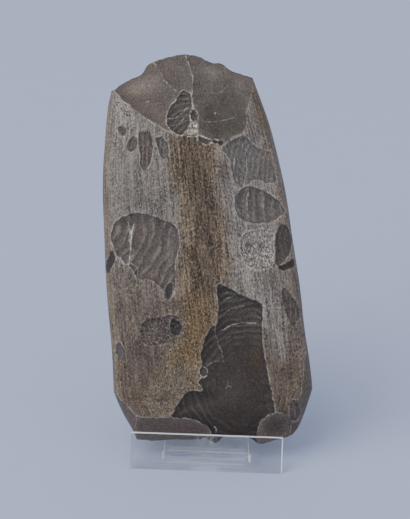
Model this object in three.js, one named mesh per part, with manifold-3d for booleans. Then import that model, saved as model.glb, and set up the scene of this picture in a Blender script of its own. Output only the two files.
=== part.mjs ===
// A ground flint axe head leaning back on a clear acrylic display stand.
// Millimetres. +X is to the viewer's right, +Y runs away from the viewer, +Z is up.
import * as THREE from 'three';
import { mergeVertices } from 'three/addons/utils/BufferGeometryUtils.js';
import Module from 'manifold-3d';

// Both the axe head and the stand's back rest lean back by this much.
const LEAN = THREE.MathUtils.degToRad(20);

// Axe head, in its own frame: u across, v from the broad end upwards, w out of the front face.
const AXE_SEAT = { y: 13.2, z: 6.4 };
const CROWN = { front: 15, back: 14.2, at: 78, reach: 78, loss: 3 };
const SHOULDER_SHARE = 0.52;
const SHOULDER_WIDTH = 5;
const SIDE_HALF = 3.2;
const SIDE_BULGE = 0.5;
const LEFT_SIDE = [
  [-27.6, 0.2], [-29.8, 4.5], [-33.6, 10.6], [-37.1, 18], [-37.6, 20.5], [-38.8, 35],
  [-41.7, 59], [-43.3, 78.5], [-44.8, 101], [-44.6, 117], [-43.9, 131.5], [-42.6, 139],
];
const RIGHT_SIDE = [
  [29, 2.6], [33.6, 4.4], [37, 10], [40.6, 21.8], [40.7, 24.8], [39.2, 35], [37.1, 46],
  [34.4, 64], [30.9, 82.5], [28, 98.5], [24.6, 112.3], [20.8, 125.5], [16.9, 135.9], [12.6, 146.2],
];
const BROAD_END = [
  [-27.6, 0.2], [-20, 0], [-12.5, 0.8], [-4.8, 1.2], [0, 1.4], [3.6, 0.1],
  [7, 2.6], [13, 3.4], [17, 2.4], [21.2, 0.2], [25, 1.2], [29, 2.6],
];
const NARROW_END = [
  [-42.6, 139], [-36.6, 143.2], [-31.8, 145.6], [-29.8, 148.6], [-26.8, 151], [-20.4, 153.2],
  [-14.4, 154.4], [-8.4, 153.6], [-3.5, 151.4], [-0.4, 151.5], [4, 148.8], [8.6, 147.2], [12.6, 146.2],
];

// Each end is flaked down to a thin edge beyond a border line; ridges part its facets.
const NARROW_FLAKING = {
  edge: 1.4,
  hollow: 1.5,
  border: [
    [-47, 142.5], [-42.6, 139.1], [-37.8, 134.2], [-31.2, 129], [-23.8, 124.7], [-18, 121.8],
    [-13, 120.9], [-8, 120.6], [1.5, 117.9], [5.8, 121.2], [10.5, 124.1], [11.2, 128],
    [10.7, 132.3], [12.6, 138], [13.6, 150],
  ],
  beyond: [[30, 175], [-70, 175]],
  ridges: [
    [[-27.5, 151.5], [-24.5, 147.7], [-22.7, 144], [-20.7, 142], [-16.8, 139]],
    [[-15.2, 156], [-12.2, 148.6], [-10.8, 144], [-11, 137], [-9.6, 131.5], [-8.2, 119]],
  ],
};
const BROAD_FLAKING = {
  edge: 2,
  hollow: 0.9,
  border: [
    [-46, 26], [-38.6, 21.6], [-35.6, 17], [-31.7, 13.9], [-28.1, 10.5], [-24.1, 9.9], [-15, 10.4],
    [-8, 13], [5, 18], [17, 17], [26, 14], [32.7, 13.4], [36, 20.4], [37.1, 28], [38, 38], [45, 47],
  ],
  beyond: [[60, -30], [-60, -30]],
  ridges: [
    [[-28.1, 10.5], [-28.4, 4.8], [-28, -2]],
    [[-7, 9.7], [-3, 8.4], [0.2, 6.3], [2.4, -1]],
    [[26.3, 13.9], [21.4, 9.9], [19.6, 4], [19, -2]],
    [[32.7, 13.4], [33.5, 8], [31.5, -2]],
  ],
};

// Flake scars on the front face. An oval has a centre, two half widths and a turn in degrees.
const FRONT_SCARS = [
  {
    curve: [
      [1.8, 63.5], [6, 62.5], [11.1, 59.9], [16.7, 57.8], [19.6, 56.4], [20.2, 53], [20.2, 47],
      [21, 38.3], [22.4, 32.4], [25.2, 20.6], [26.4, 14.2], [23.6, 12.1], [20.4, 8], [18.5, -4],
      [3, -4], [1.4, 5], [-3, 8.4], [-8, 9.9], [-14.1, 10.5], [-12.7, 14.6], [-10, 19.4],
      [-6.7, 21.6], [-2.3, 21.6], [-4.5, 24.6], [-2, 28.4], [-3, 31.2], [-3.6, 35.9],
      [-1.6, 44.6], [2.2, 48.7], [2.2, 56],
    ],
    depth: 2.3,
    run: 6,
    ridges: [
      [[2.2, 48.7], [1.4, 45.5], [2.8, 40.9], [4.5, 37], [5.5, 33.5]],
      [[-1.9, 30.2], [0, 32.1], [2.5, 33.2], [8.4, 33.1], [9.2, 28]],
    ],
  },
  {
    curve: [
      [-40.9, 79.3], [-40.4, 84], [-38.4, 87.4], [-32.4, 90.2], [-26, 89.8], [-17.7, 87],
      [-14.8, 84.8], [-13.4, 79], [-14.9, 71], [-14.4, 63.7], [-15, 58.6], [-17.2, 57],
      [-19.6, 60.4], [-24.7, 64.1], [-29.8, 64.2], [-32, 68], [-35.4, 69.8], [-38.4, 73.4],
    ],
    depth: 1.3,
    run: 5,
  },
  {
    curve: [
      [1.6, 116], [2.6, 118], [7, 121.1], [9.7, 122.3], [12.3, 120.8], [15, 118.3], [20.7, 115.9],
      [22.6, 110], [23.9, 104.8], [21.1, 103.8], [14.7, 104.6], [12.2, 102.9], [9.8, 101.5],
      [7.4, 103], [5.8, 107], [4.6, 112.5],
    ],
    depth: 1.1,
    run: 5,
  },
  {
    curve: [
      [7.1, 95.2], [7.5, 98.3], [9.3, 100.8], [12.4, 102.5], [18.4, 101.2], [23.7, 98.2],
      [27.3, 94.6], [26.6, 91.8], [22.4, 88.6], [16.4, 87.6], [10.5, 88.9], [8, 91.6],
    ],
    depth: 1.1,
    run: 4,
  },
  {
    curve: [
      [10.2, 79], [10.8, 82.9], [14, 84.8], [19.7, 85.9], [22.8, 84.2], [24.6, 78], [24.4, 73],
      [21.4, 70.4], [17, 69.5], [13, 71], [10.4, 75.6],
    ],
    depth: 0.6,
    run: 2.5,
  },
  {
    curve: [
      [24, 83], [25.4, 87.6], [27.6, 88.1], [30.1, 85.2], [31, 81], [29.9, 75.6], [27, 72.2],
      [24.8, 71.4], [24, 76],
    ],
    depth: 1,
    run: 3,
  },
  {
    curve: [
      [26.9, 61.6], [29, 62.9], [31.2, 60], [34, 56.3], [35, 52.6], [33.4, 48.4], [32.4, 47.4],
      [30.6, 49.8], [28.6, 54.6],
    ],
    depth: 0.6,
    run: 3,
  },
  {
    curve: [
      [-27.9, 46], [-25.2, 48.7], [-20.6, 49.8], [-15.2, 50.9], [-12.2, 49.6], [-10.4, 45.1],
      [-12.4, 42.4], [-14.8, 39.8], [-20.5, 38.7], [-25.8, 38.6], [-27.8, 42],
    ],
    depth: 0.7,
    run: 2.5,
  },
  {
    curve: [
      [-17.2, 136], [-19.6, 132.4], [-20.7, 128], [-19.8, 124], [-16.4, 121.3], [-13.8, 121.5],
      [-11.4, 125.6], [-11.2, 130], [-10.6, 134], [-11.6, 138.4], [-14.6, 139.6],
    ],
    depth: 1.1,
    run: 4,
  },
  { oval: [-33.5, 117.2, 2.2, 3.2, 0], depth: 0.6, run: 2 },
  { oval: [-28.2, 114.6, 2.8, 7.8, 2], depth: 0.7, run: 2 },
  { oval: [-21.7, 116, 2.6, 4.7, 8], depth: 0.7, run: 2 },
  { oval: [-41, 70.4, 1.8, 4.8, 8], depth: 0.7, run: 1.5 },
  { oval: [-35.2, 35, 1.8, 4.4, 18], depth: 0.7, run: 1.6 },
  { oval: [28.6, 71.9, 3.9, 2, 16], depth: 0.6, run: 1.6 },
];

// The back face is plainer: the same polish, its own flaked ends and a few scars.
const BACK_NARROW_FLAKING = {
  edge: 1.4,
  hollow: 1.3,
  border: [
    [-47, 141], [-41, 136], [-34, 127], [-24, 123.5], [-13, 126], [-2, 123], [8, 130],
    [13.6, 141], [14, 150],
  ],
  beyond: [[30, 175], [-70, 175]],
  ridges: [
    [[-24, 153], [-22, 140], [-24, 123.5]],
    [[-6, 154], [-5, 140], [-2, 123]],
  ],
};
const BACK_BROAD_FLAKING = {
  edge: 2,
  hollow: 1,
  border: [
    [-46, 25], [-38, 21], [-31, 17], [-19, 19.5], [-6, 14], [8, 17.5], [22, 13.5],
    [33, 17], [38, 33], [45, 46],
  ],
  beyond: [[60, -30], [-60, -30]],
  ridges: [
    [[-31, 17], [-28, 8], [-28, -2]],
    [[-6, 14], [-7, 6], [-6, -2]],
    [[22, 13.5], [20, 6], [19, -2]],
  ],
};
const BACK_SCARS = [
  {
    curve: [
      [-52, 113], [-40, 114.5], [-33, 110], [-28.5, 103], [-29, 96], [-34, 90.5], [-41, 88.5],
      [-52, 90],
    ],
    depth: 1,
    run: 5,
  },
  {
    curve: [[-50, 70], [-38, 70.5], [-31, 66], [-28.5, 59], [-31.5, 51.5], [-38, 47], [-50, 48]],
    depth: 0.9,
    run: 4,
  },
  {
    curve: [[36, 113], [24, 115], [14.5, 110], [11, 102.5], [16.5, 96.5], [25, 95], [36, 98]],
    depth: 1.1,
    run: 5,
  },
  {
    curve: [[46, 80], [33, 81.5], [25, 77], [20.5, 69], [22.5, 60], [30, 54.5], [46, 56]],
    depth: 1,
    run: 5,
  },
  {
    curve: [
      [-21, 6], [-24, 20], [-21, 33], [-13, 42.5], [-5, 41], [-1, 33], [-3.5, 24], [-2, 14], [-4, 5],
    ],
    depth: 1.3,
    run: 6,
  },
  {
    curve: [[48, 45], [36, 44.5], [28.5, 40], [26, 32.5], [30.5, 26.5], [48, 26]],
    depth: 0.8,
    run: 3,
  },
];

// Grid that carries the faces of the axe head.
const COLUMNS = 32;
const ROWS = 60;
const WALL_STEPS = 2;
const TINY = 1e-6;
const WELD = 1e-4;
const SETTLE_REACH = 1.15;

// Clear stand: y runs back from the lip's lower front edge and z is up from the table.
const SHEET = 2.5;
const LIP_WIDTH = 60;
const LIP_LENGTH = 14.5;
const STRIP_WIDTH = 34;
const LEDGE_TOP = 5.5;
const BACK_REST_AT = 28.4;
const BACK_REST_REACH = 98;
const LEG_FOOT_AT = 80;
const BEND_RADIUS = 3.75;
const BEND_STEPS = 10;

const FLINT = new THREE.MeshStandardMaterial({ color: 0x7d766f, roughness: 0.5, metalness: 0 });
const CLEAR_ACRYLIC = new THREE.MeshStandardMaterial({
  color: 0xe9eff2,
  roughness: 0.05,
  metalness: 0,
  transparent: true,
  opacity: 0.3,
});

const wasm = await Module();
wasm.setup();

// Smooth lines through points

const CURVE_STEPS = 8;
const OVAL_STEPS = 32;

function curveThrough(points, closed) {
  const corners = points.map(([u, v]) => new THREE.Vector3(u, v, 0));
  return new THREE.CatmullRomCurve3(corners, closed, 'catmullrom', 0.5);
}

function smoothLine(points, closed = false) {
  const steps = CURVE_STEPS * (closed ? points.length : points.length - 1);
  return curveThrough(points, closed).getPoints(steps);
}

function ovalLine([u, v, across, along, turn]) {
  const angle = THREE.MathUtils.degToRad(turn);
  const ellipse = new THREE.EllipseCurve(u, v, across, along, 0, 2 * Math.PI, false, angle);
  return ellipse.getPoints(OVAL_STEPS);
}

function nearestOnLine(line, u, v) {
  let best = { distance: Infinity };
  for (let i = 1; i < line.length; i += 1) {
    const from = line[i - 1];
    const du = line[i].x - from.x;
    const dv = line[i].y - from.y;
    const along = ((u - from.x) * du + (v - from.y) * dv) / (du * du + dv * dv || 1);
    const share = THREE.MathUtils.clamp(along, 0, 1);
    const place = { u: from.x + share * du, v: from.y + share * dv };
    const distance = Math.hypot(place.u - u, place.v - v);
    if (distance < best.distance) best = { ...place, distance };
  }
  return best;
}

function distanceToLine(line, u, v) {
  return nearestOnLine(line, u, v).distance;
}

function isInside(loop, u, v) {
  let inside = false;
  for (let i = 0; i < loop.length; i += 1) {
    const a = loop[i];
    const b = loop[(i + 1) % loop.length];
    const crosses = a.y > v !== b.y > v;
    if (crosses && u < a.x + ((v - a.y) * (b.x - a.x)) / (b.y - a.y)) inside = !inside;
  }
  return inside;
}

// Relief of the faces

const RIDGE_REACH = 2.6;
const RIDGE_SHARE = 0.6;

function ridgeScoop(ridges, u, v) {
  const nearest = Math.min(...ridges.map((ridge) => distanceToLine(ridge, u, v)));
  return 1 - Math.exp(-nearest / RIDGE_REACH);
}

// Thins the face from the border of the flaked end down to its outer edge.
function makeFlakedEnd(flaking, outline) {
  const border = smoothLine(flaking.border);
  const region = [...border, ...flaking.beyond.map(([u, v]) => new THREE.Vector3(u, v, 0))];
  const ridges = flaking.ridges.map((points) => smoothLine(points));
  return (u, v, half) => {
    if (!isInside(region, u, v)) return { half, share: 0 };
    const fromBorder = distanceToLine(border, u, v);
    const toEdge = distanceToLine(outline, u, v);
    const share = fromBorder / (fromBorder + toEdge + TINY);
    const scoop = 4 * share * (1 - share) * flaking.hollow * ridgeScoop(ridges, u, v);
    return { half: THREE.MathUtils.lerp(half, flaking.edge, share) - scoop, share };
  };
}

function makeScars(scars) {
  const shapes = scars.map((scar) => ({
    ...scar,
    loop: scar.oval ? ovalLine(scar.oval) : smoothLine(scar.curve, true),
    ridges: (scar.ridges ?? []).map((points) => smoothLine(points)),
  }));
  return (u, v) => {
    let deepest = 0;
    for (const { loop, depth, run, ridges } of shapes) {
      if (!isInside(loop, u, v)) continue;
      const out = 1 - Math.min(1, distanceToLine(loop, u, v) / run);
      const scoop = ridges.length ? ridgeScoop(ridges, u, v) : 1;
      const ridged = THREE.MathUtils.lerp(RIDGE_SHARE, 1, scoop);
      deepest = Math.max(deepest, depth * (1 - out * out) * ridged);
    }
    return deepest;
  };
}

// Slow unevenness that hand grinding leaves: broad swells and slanting furrows.
const SWELLS = { height: 0.22, across: 8.5, along: 14, start: 1.3 };
const FURROWS = { height: 0.12, across: 5, along: 19 };

function unevenness(u, v) {
  const swell = Math.sin(u / SWELLS.across + SWELLS.start) * Math.sin(v / SWELLS.along);
  const furrow = Math.sin(u / FURROWS.across - v / FURROWS.along);
  return SWELLS.height * swell + FURROWS.height * furrow;
}

// Moves a grid point that is close to a sharp border onto it, so the border's crease stays straight.
function settleOnBorders(borders, point) {
  for (const border of borders) {
    const { u, v, distance } = nearestOnLine(border, point.u, point.v);
    if (distance < SETTLE_REACH) {
      return { ...point, u, v, s: point.s + (u - point.u) / (2 * point.halfWidth) };
    }
  }
  return point;
}

// Half thickness of the ground body: a lens with rounded shoulders and narrow flat sides.
function bodyHalf(crown, side, halfWidth, u, v) {
  const full = crown - CROWN.loss * ((v - CROWN.at) / CROWN.reach) ** 2;
  const shoulder = SHOULDER_SHARE * full;
  const lens = shoulder + (full - shoulder) * (1 - side * side);
  const fromSide = Math.min(1, (halfWidth * (1 - Math.abs(side))) / SHOULDER_WIDTH);
  const rounding = (shoulder - SIDE_HALF) * (1 - Math.sqrt(1 - (1 - fromSide) ** 2));
  const settled = fromSide * unevenness(u, v);
  return lens - rounding + settled;
}

const leftSide = curveThrough(LEFT_SIDE, false);
const rightSide = curveThrough(RIGHT_SIDE, false);
const broadEnd = curveThrough(BROAD_END, false);
const narrowEnd = curveThrough(NARROW_END, false);

// Blends the four outline curves into a sheet, so each grid point has its own place on the face.
function facePoint(s, t) {
  const left = leftSide.getPointAt(t);
  const right = rightSide.getPointAt(t);
  const low = broadEnd.getPointAt(s);
  const high = narrowEnd.getPointAt(s);
  const lowCorner = leftSide.getPointAt(0).lerp(rightSide.getPointAt(0), s);
  const highCorner = leftSide.getPointAt(1).lerp(rightSide.getPointAt(1), s);
  const across = left.clone().lerp(right, s);
  const along = low.lerp(high, t);
  const corners = lowCorner.lerp(highCorner, t);
  const point = across.add(along).sub(corners);
  return { s, u: point.x, v: point.y, halfWidth: left.distanceTo(right) / 2 };
}

function makeFace(crown, narrowFlaking, broadFlaking, scars) {
  const narrow = makeFlakedEnd(narrowFlaking, smoothLine(NARROW_END));
  const broad = makeFlakedEnd(broadFlaking, smoothLine(BROAD_END));
  const scarDepth = makeScars(scars);
  const borders = [narrowFlaking.border, broadFlaking.border].map((points) => smoothLine(points));
  borders.push(...scars.filter(({ curve }) => curve).map(({ curve }) => smoothLine(curve, true)));
  const settle = (point) => settleOnBorders(borders, point);
  const half = ({ s, u, v, halfWidth }) => {
    const body = bodyHalf(crown, 2 * s - 1, halfWidth, u, v);
    const topped = narrow(u, v, body);
    const ended = broad(u, v, topped.half);
    const kept = (1 - topped.share) * (1 - ended.share);
    return ended.half - scarDepth(u, v) * kept;
  };
  return { settle, half };
}

const frontFace = makeFace(CROWN.front, NARROW_FLAKING, BROAD_FLAKING, FRONT_SCARS);
const backFace = makeFace(CROWN.back, BACK_NARROW_FLAKING, BACK_BROAD_FLAKING, BACK_SCARS);

// A finely divided box is carried onto the faces, sides and ends of the axe head.
function axeGeometry() {
  const box = new THREE.BoxGeometry(2, 2, 2, COLUMNS, ROWS, WALL_STEPS);
  const place = box.getAttribute('position');
  for (let i = 0; i < place.count; i += 1) {
    const x = place.getX(i);
    const y = place.getY(i);
    const z = place.getZ(i);
    const onSide = Math.abs(x) > 1 - TINY;
    const onWall = onSide || Math.abs(y) > 1 - TINY;
    const face = z > 0 ? frontFace : backFace;
    const point = facePoint((x + 1) / 2, (y + 1) / 2);
    const settled = onWall ? point : face.settle(point);
    const front = frontFace.half(settled);
    const back = -backFace.half(settled);
    const outward = onSide ? Math.sign(x) * SIDE_BULGE * (1 - z * z) : 0;
    const depth = THREE.MathUtils.lerp(back, front, (z + 1) / 2);
    place.setXYZ(i, settled.u + outward, settled.v, depth);
  }
  box.deleteAttribute('normal');
  box.deleteAttribute('uv');
  const closed = mergeVertices(box, WELD);
  closed.computeVertexNormals();
  return closed;
}

// Clear stand

function toSolid(geometry) {
  geometry.deleteAttribute('normal');
  geometry.deleteAttribute('uv');
  const merged = mergeVertices(geometry, WELD);
  const mesh = new wasm.Mesh({
    numProp: 3,
    vertProperties: merged.getAttribute('position').array,
    triVerts: new Uint32Array(merged.index.array),
  });
  return new wasm.Manifold(mesh);
}

function toGeometry(solid) {
  const { vertProperties, triVerts } = solid.getMesh();
  const geometry = new THREE.BufferGeometry();
  geometry.setAttribute('position', new THREE.BufferAttribute(vertProperties, 3));
  geometry.setIndex(new THREE.BufferAttribute(triVerts, 1));
  geometry.computeVertexNormals();
  return geometry;
}

// Extrudes an outline of (y, z) points to a width centred on x = 0.
function profileSolid(outline, width) {
  const geometry = new THREE.ExtrudeGeometry(new THREE.Shape(outline), {
    depth: width,
    bevelEnabled: false,
  });
  const turned = new THREE.Matrix4().makeBasis(
    new THREE.Vector3(0, 1, 0),
    new THREE.Vector3(0, 0, 1),
    new THREE.Vector3(1, 0, 0),
  );
  geometry.applyMatrix4(turned).translate(-width / 2, 0, 0);
  return toSolid(geometry);
}

// The middle line of a bent sheet with each corner rounded, as points that carry their normals.
function bentLine(corners) {
  const line = [];
  const add = (point, along) => line.push({ point, normal: new THREE.Vector2(-along.y, along.x) });
  const first = corners[1].clone().sub(corners[0]).normalize();
  add(corners[0], first);
  for (let i = 1; i < corners.length - 1; i += 1) {
    const into = corners[i].clone().sub(corners[i - 1]).normalize();
    const away = corners[i + 1].clone().sub(corners[i]).normalize();
    const turn = Math.atan2(into.cross(away), into.dot(away));
    const side = Math.sign(turn);
    const back = BEND_RADIUS * Math.tan(Math.abs(turn) / 2);
    const start = corners[i].clone().addScaledVector(into, -back);
    const centre = new THREE.Vector2(-into.y, into.x).multiplyScalar(side * BEND_RADIUS).add(start);
    for (let step = 0; step <= BEND_STEPS; step += 1) {
      const turned = (turn * step) / BEND_STEPS;
      const point = start.clone().rotateAround(centre, turned);
      add(point, into.clone().rotateAround(new THREE.Vector2(), turned));
    }
  }
  const last = corners.at(-1).clone().sub(corners.at(-2)).normalize();
  add(corners.at(-1), last);
  return line;
}

function stripOutline() {
  const up = new THREE.Vector2(Math.sin(LEAN), Math.cos(LEAN));
  const ledgeMiddle = LEDGE_TOP - SHEET / 2;
  const sheetRun = SHEET / 2 / Math.cos(LEAN);
  const drop = Math.tan(LEAN) * (LEDGE_TOP - ledgeMiddle);
  const start = new THREE.Vector2(Math.tan(LEAN) * ledgeMiddle + sheetRun, ledgeMiddle);
  const heel = new THREE.Vector2(BACK_REST_AT + sheetRun - drop, ledgeMiddle);
  const peak = heel.clone().addScaledVector(up, BACK_REST_REACH);
  const foot = new THREE.Vector2(LEG_FOOT_AT, 0);
  const line = bentLine([start, heel, peak, foot]);
  const offset = (side) =>
    line.map(({ point, normal }) => point.clone().addScaledVector(normal, (side * SHEET) / 2));
  const outer = offset(-1);
  const inner = offset(1);
  // The leg's foot is cut level with the table.
  const legRun = foot.clone().sub(peak);
  for (const edge of [outer, inner]) {
    const end = edge.at(-1);
    end.addScaledVector(legRun, -end.y / legRun.y);
  }
  return [...outer, ...inner.reverse()];
}

function lipOutline() {
  const up = new THREE.Vector2(Math.sin(LEAN), Math.cos(LEAN));
  const back = new THREE.Vector2(Math.cos(LEAN), -Math.sin(LEAN)).multiplyScalar(SHEET);
  const topFront = up.clone().multiplyScalar(LIP_LENGTH);
  return [
    new THREE.Vector2(0, 0),
    new THREE.Vector2(SHEET / Math.cos(LEAN), 0),
    topFront.clone().add(back),
    topFront,
  ];
}

function standGeometry() {
  const lip = profileSolid(lipOutline(), LIP_WIDTH);
  const strip = profileSolid(stripOutline(), STRIP_WIDTH);
  return toGeometry(lip.add(strip));
}

// Assembly

const axe = new THREE.Mesh(axeGeometry(), FLINT);
axe.name = 'flint_axe_head';
axe.position.set(0, AXE_SEAT.y, AXE_SEAT.z);
axe.rotation.x = Math.PI / 2 - LEAN;

const stand = new THREE.Mesh(standGeometry(), CLEAR_ACRYLIC);
stand.name = 'acrylic_stand';

const group = new THREE.Group();
group.add(axe, stand);

// The origin is on the table, under the middle of the whole object.
group.updateMatrixWorld(true);
const reach = new THREE.Box3().setFromObject(group, true);
const middle = reach.getCenter(new THREE.Vector3());
group.position.set(-middle.x, -middle.y, -reach.min.z);

export default group;
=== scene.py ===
"""A ground flint axe head leaning back on a clear acrylic display stand.

Sizes are millimetres until a mesh is made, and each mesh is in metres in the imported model's frame.
"""

import math

import bmesh
import bpy
import numpy as np
from mathutils import Matrix, Vector


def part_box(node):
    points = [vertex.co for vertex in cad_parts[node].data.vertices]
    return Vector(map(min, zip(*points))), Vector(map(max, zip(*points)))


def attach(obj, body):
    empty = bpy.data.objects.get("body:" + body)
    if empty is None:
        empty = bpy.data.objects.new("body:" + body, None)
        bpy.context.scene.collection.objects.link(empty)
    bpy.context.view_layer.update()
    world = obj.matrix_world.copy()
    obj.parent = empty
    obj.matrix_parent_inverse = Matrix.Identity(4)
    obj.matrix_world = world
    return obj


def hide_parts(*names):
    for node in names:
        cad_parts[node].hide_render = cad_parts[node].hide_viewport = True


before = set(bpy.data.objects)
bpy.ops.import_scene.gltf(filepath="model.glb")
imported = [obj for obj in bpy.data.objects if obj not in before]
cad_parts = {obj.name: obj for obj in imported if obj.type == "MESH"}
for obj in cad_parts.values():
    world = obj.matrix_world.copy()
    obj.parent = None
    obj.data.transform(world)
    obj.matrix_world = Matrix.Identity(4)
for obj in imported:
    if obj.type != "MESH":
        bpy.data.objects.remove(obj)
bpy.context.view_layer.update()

MM = 0.001
LEAN = math.radians(20)

# Flint colours, as 8-bit sRGB.
POLISH_PALE = (112, 107, 101)
POLISH_BROWN = (90, 79, 69)
SIDE_TAN = (112, 101, 84)
SIDE_BROWN = (113, 102, 93)
BAND_BROWN = (103, 91, 76)
BAND_CORE = (76, 66, 55)
BAND_OCHRE = (98, 84, 61)
STRIP_PALE = (126, 121, 115)
GRANULAR = (96, 89, 79)
FACET_MIDDLE = (88, 81, 77)
FACET_TAN = (124, 115, 107)
FACET_GREY = (68, 63, 59)
FACET_RED = (98, 88, 83)
FRESH_GREY = (69, 64, 60)
FRESH_RED = (58, 51, 46)
FRESH_OCHRE = (68, 54, 36)
SCAR_GREY = (90, 85, 81)
SCAR_BLUE = (98, 94, 91)
SCAR_DULL = (82, 74, 69)
SCAR_LIGHT = (132, 127, 121)
SCAR_DARK = (58, 54, 52)
PATINA = (178, 172, 162)
LENS_RED = (96, 85, 79)
BEVEL_GREEN = (92, 88, 76)
EDGE_WHITE = (200, 194, 182)
WARMTH = (0.95, 0.90, 0.85)

# Axe head: u across, v from the broad end upwards, w out of the front face.
AXE_SEAT = (13.2, 6.4)
CROWN_FRONT = 15.0
CROWN_BACK = 14.2
CROWN_AT = 78.0
CROWN_REACH = 78.0
CROWN_LOSS = 3.0
SHOULDER_SHARE = 0.52
SHOULDER_WIDTH = 5.0
SIDE_HALF = 3.2
SIDE_BULGE = 0.5
LEFT_SIDE = [
    (-27.6, 0.2), (-29.8, 4.5), (-33.6, 10.6), (-37.1, 18), (-37.6, 20.5), (-38.8, 35),
    (-41.7, 59), (-43.3, 78.5), (-44.8, 101), (-44.6, 117), (-43.9, 131.5), (-42.6, 139),
]
RIGHT_SIDE = [
    (29, 2.6), (33.6, 4.4), (37, 10), (40.6, 21.8), (40.7, 24.8), (39.2, 35), (37.1, 46),
    (34.4, 64), (30.9, 82.5), (28, 98.5), (24.6, 112.3), (20.8, 125.5), (16.9, 135.9), (12.6, 146.2),
]
BROAD_END = [
    (-27.6, 0.2), (-20, 0), (-12.5, 0.8), (-4.8, 1.2), (0, 1.4), (3.6, 0.1),
    (7, 2.6), (13, 3.4), (17, 2.4), (21.2, 0.2), (25, 1.2), (29, 2.6),
]
NARROW_END = [
    (-42.6, 139), (-36.6, 143.2), (-31.8, 145.6), (-29.8, 148.6), (-26.8, 151), (-20.4, 153.2),
    (-14.4, 154.4), (-8.4, 153.6), (-3.5, 151.4), (-0.4, 151.5), (4, 148.8), (8.6, 147.2),
    (12.6, 146.2),
]

# Swells and furrows of the ground faces: height, and length of a radian across and along.
SWELL = (0.22, 8.5, 14)
SWELL_SHIFT = 1.3
FURROW = (0.12, 5, 19)

# Each end is flaked to a thin edge beyond a border line; ridges part its facets.
# rim is how white the worn line along a border is, left and right of where it fades.
NARROW_KIND = dict(outline=NARROW_END, edge=1.4, tone=FACET_MIDDLE, beyond=[(30, 175), (-70, 175)])
BROAD_KIND = dict(outline=BROAD_END, edge=2.0, tone=LENS_RED, beyond=[(60, -30), (-60, -30)])
NARROW_FLAKING = dict(
    NARROW_KIND, hollow=1.5, rim=(0.85, 0.12), rim_fades=(-8, 2), ridge_rim=0.45,
    border=[
        (-47, 142.5), (-42.6, 139.1), (-37.8, 134.2), (-31.2, 129), (-23.8, 124.7), (-18, 121.8),
        (-13, 120.9), (-8, 120.6), (1.5, 117.9), (5.8, 121.2), (10.5, 124.1), (11.2, 128), (10.7, 132.3),
        (12.6, 138), (13.6, 150),
    ],
    ridges=[
        [(-27.5, 151.5), (-24.5, 147.7), (-22.7, 144), (-20.7, 142), (-16.8, 139)],
        [(-15.2, 156), (-12.2, 148.6), (-10.8, 144), (-11, 137), (-9.6, 131.5), (-8.2, 126), (-8.2, 119)],
    ],
)
BROAD_FLAKING = dict(
    BROAD_KIND, hollow=0.9, rim=(0.4, 0.25), rim_fades=(20, 30), ridge_rim=0.3,
    border=[
        (-46, 26), (-38.6, 21.6), (-35.6, 17), (-31.7, 13.9), (-28.1, 10.5), (-24.1, 9.9), (-15, 10.4),
        (-8, 13), (5, 18), (17, 17), (26, 14), (32.7, 13.4), (36, 20.4), (37.1, 28), (38, 38), (45, 47),
    ],
    ridges=[
        [(-28.1, 10.5), (-28.4, 4.8), (-28, -2)],
        [(-7, 9.7), (-3, 8.4), (0.2, 6.3), (2.4, -1)],
        [(26.3, 13.9), (21.4, 9.9), (19.6, 4), (19, -2)],
        [(32.7, 13.4), (33.5, 8), (31.5, -2)],
    ],
)
BACK_NARROW_FLAKING = dict(
    NARROW_KIND, hollow=1.3, rim=(0.6, 0.3), rim_fades=(-20, 0), ridge_rim=0.4,
    border=[
        (-47, 141), (-41, 136), (-34, 127), (-24, 123.5), (-13, 126), (-2, 123), (8, 130),
        (13.6, 141), (14, 150),
    ],
    ridges=[
        [(-24, 153), (-22, 140), (-24, 123.5)],
        [(-6, 154), (-5, 140), (-2, 123)],
    ],
)
BACK_BROAD_FLAKING = dict(
    BROAD_KIND, hollow=1.0, rim=(0.4, 0.2), rim_fades=(0, 20), ridge_rim=0.3,
    border=[
        (-46, 25), (-38, 21), (-31, 17), (-19, 19.5), (-6, 14), (8, 17.5), (22, 13.5),
        (33, 17), (38, 33), (45, 46),
    ],
    ridges=[
        [(-31, 17), (-28, 8), (-28, -2)],
        [(-6, 14), (-7, 6), (-6, -2)],
        [(22, 13.5), (20, 6), (19, -2)],
    ],
)


# Flake scars


def flake(depth, run, tone, grain, rim, outline, **more):
    """One flake's scar: its depth, the run of its wall, its colour, its graininess and how white its
    border is. The outline is a closed curve's points or an oval: u, v, half sizes and turn. A ripple is
    its origin's u and v, wavelength, height, whiteness and the radius at which it starts. A scar that
    runs over leaves no crease where it crosses an end's border."""
    scar = dict(depth=depth, run=run, tone=tone, grain=grain, rim=rim, outline=outline)
    return {**scar, "ridge_rim": rim, "ridges": [], "ripple": None, "runs_over": False, **more}


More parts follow.
